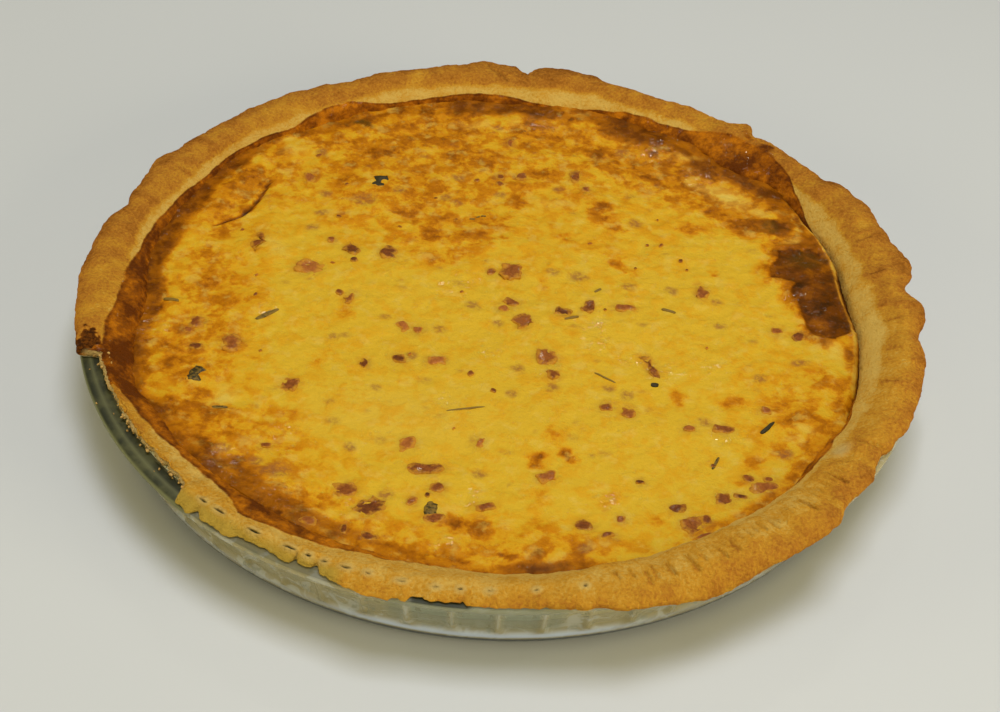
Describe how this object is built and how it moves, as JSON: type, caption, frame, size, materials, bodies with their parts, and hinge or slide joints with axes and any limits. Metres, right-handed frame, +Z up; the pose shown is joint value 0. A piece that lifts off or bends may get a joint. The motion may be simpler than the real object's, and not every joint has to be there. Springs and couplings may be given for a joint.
{
  "type": "quiche in a glass dish",
  "caption": "Round ham quiche: set custard in a hand-pressed pastry case, baked in a fluted clear glass flan dish.",
  "frame": {"origin": "centre of the dish's flat base, on the table", "axes": "+Z up out of the dish; -Y towards the front, where the glass wall shows under the pastry; +X to the right"},
  "size_m": [0.2858, 0.2843, 0.0324],
  "materials": {
    "glass": "gloss",
    "pastry": "matte",
    "custard": "satin"
  },
  "bodies": {
    "root": {"glass_dish": "glass", "pastry_case": "pastry", "custard_filling": "custard"}
  },
  "joints": []
}
